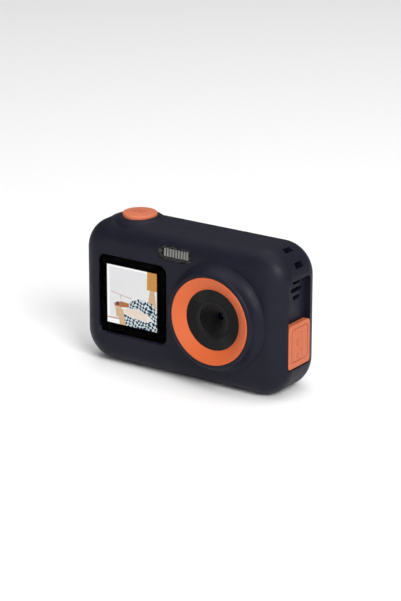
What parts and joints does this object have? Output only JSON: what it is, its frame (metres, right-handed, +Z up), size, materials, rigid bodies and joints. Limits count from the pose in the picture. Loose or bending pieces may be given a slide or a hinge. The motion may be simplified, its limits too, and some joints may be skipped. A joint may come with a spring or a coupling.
{
  "type": "compact action camera",
  "caption": "Small rounded action camera with a proud orange-trimmed lens, square front display, pill lamp, top shutter button, lanyard bar and side port flap.",
  "frame": {"origin": "mouth of the tripod socket, in the middle of the flat underside", "axes": "+X to the right seen from the front, the lens faces -Y, +Z up"},
  "size_m": [0.092, 0.0335, 0.0593],
  "materials": {
    "body_navy": "soft-touch moulded plastic",
    "trim_orange": "satin moulded plastic",
    "button_orange": "satin moulded plastic",
    "cover_orange": "soft moulded elastomer",
    "bezel_black": "polished black plastic",
    "baffle_black": "matte black, anti-reflection",
    "lens_glass": "coated optical glass",
    "screen_glass": "clear glass with a black printed border",
    "display_panel": "lit display behind a polariser",
    "lamp_clear": "clear moulded window",
    "lamp_diffuser": "frosted light guide",
    "smoke_plastic": "dark reflector",
    "brass": "turned brass",
    "screw_steel": "zinc plated",
    "black_steel": "black oxide",
    "bright_steel": "stamped steel",
    "board_green": "solder mask",
    "chip_black": "moulded chip package",
    "flex_amber": "polyimide film",
    "frame_grey": "glass-filled nylon",
    "battery_wrap": "foil pouch",
    "wire_red": "insulated wire",
    "rubber_black": "silicone",
    "key_grey": "satin key cap",
    "card_black": "moulded card",
    "speaker_black": "moulded frame and paper cone",
    "filter_glass": "blue glass"
  },
  "bodies": {
    "case": {"front_shell": "body_navy", "rear_shell": "body_navy", "shell_gasket": "rubber_black", "case_screws": "black_steel", "tripod_insert": "brass", "lens_ring": "trim_orange", "lens_bezel": "bezel_black", "lens_gasket": "rubber_black", "lens_baffle": "baffle_black", "lens_barrel": "baffle_black", "lens_front_element": "lens_glass", "lens_rear_elements": "lens_glass", "lens_holder": "baffle_black", "infrared_filter": "filter_glass", "image_sensor": "chip_black", "main_board": "board_green", "board_chips": "chip_black", "shield_can": "bright_steel", "board_connectors": "frame_grey", "short_screws": "screw_steel", "front_window": "screen_glass", "front_display": "display_panel", "front_display_flex": "flex_amber", "rear_window": "screen_glass", "rear_display": "display_panel", "rear_display_flex": "flex_amber", "rear_display_frame": "frame_grey", "battery_tray": "frame_grey", "battery": "battery_wrap", "battery_leads": "wire_red", "key_board": "board_green", "key_switches": "bright_steel", "key_flex": "flex_amber", "microphone": "bright_steel", "status_light": "lamp_diffuser", "shutter_spring": "bright_steel", "shutter_switch": "chip_black", "shutter_board": "board_green", "lamp_window": "lamp_clear", "lamp_light_guide": "lamp_diffuser", "lamp_reflector": "smoke_plastic", "lamp_board": "board_green", "port_cover_pin": "bright_steel", "usb_socket": "bright_steel", "card_socket": "bright_steel", "speaker": "speaker_black"},
    "shutter": {"shutter_button": "button_orange", "shutter_plunger": "frame_grey"},
    "port_flap": {"port_cover": "cover_orange", "port_cover_seal": "cover_orange"},
    "card": {"memory_card": "card_black"},
    "key_up": {"key_up": "key_grey"},
    "key_down": {"key_down": "key_grey"},
    "key_left": {"key_left": "key_grey"},
    "key_right": {"key_right": "key_grey"},
    "key_ok": {"key_ok": "button_orange"},
    "key_power": {"key_power": "key_grey"},
    "key_mode": {"key_mode": "key_grey"}
  },
  "joints": [
    {"name": "shutter_press", "type": "slide", "parent": "case", "child": "shutter", "axis": [0, 0, -1], "range_m": [0, 0.0008], "stiffness_N_per_m": 900, "springref_m": -0.0003, "deforming": ["shutter_spring"]},
    {"name": "port_cover_hinge", "type": "hinge", "parent": "case", "child": "port_flap", "pos_m": [0.04478, -0.001, 0.0126], "axis": [0, 1, 0], "range_deg": [0, 90]},
    {"name": "memory_card_slide", "type": "slide", "parent": "case", "child": "card", "axis": [1, 0, 0], "range_m": [-0.0004, 0.0018]},
    {"name": "key_up_press", "type": "slide", "parent": "case", "child": "key_up", "axis": [0, -1, 0], "range_m": [0, 0.0005], "stiffness_N_per_m": 800, "springref_m": -0.0003},
    {"name": "key_down_press", "type": "slide", "parent": "case", "child": "key_down", "axis": [0, -1, 0], "range_m": [0, 0.0005], "stiffness_N_per_m": 800, "springref_m": -0.0003},
    {"name": "key_left_press", "type": "slide", "parent": "case", "child": "key_left", "axis": [0, -1, 0], "range_m": [0, 0.0005], "stiffness_N_per_m": 800, "springref_m": -0.0003},
    {"name": "key_right_press", "type": "slide", "parent": "case", "child": "key_right", "axis": [0, -1, 0], "range_m": [0, 0.0005], "stiffness_N_per_m": 800, "springref_m": -0.0003},
    {"name": "key_ok_press", "type": "slide", "parent": "case", "child": "key_ok", "axis": [0, -1, 0], "range_m": [0, 0.0005], "stiffness_N_per_m": 800, "springref_m": -0.0003},
    {"name": "key_power_press", "type": "slide", "parent": "case", "child": "key_power", "axis": [0, -1, 0], "range_m": [0, 0.0005], "stiffness_N_per_m": 800, "springref_m": -0.0003},
    {"name": "key_mode_press", "type": "slide", "parent": "case", "child": "key_mode", "axis": [0, -1, 0], "range_m": [0, 0.0005], "stiffness_N_per_m": 800, "springref_m": -0.0003}
  ]
}
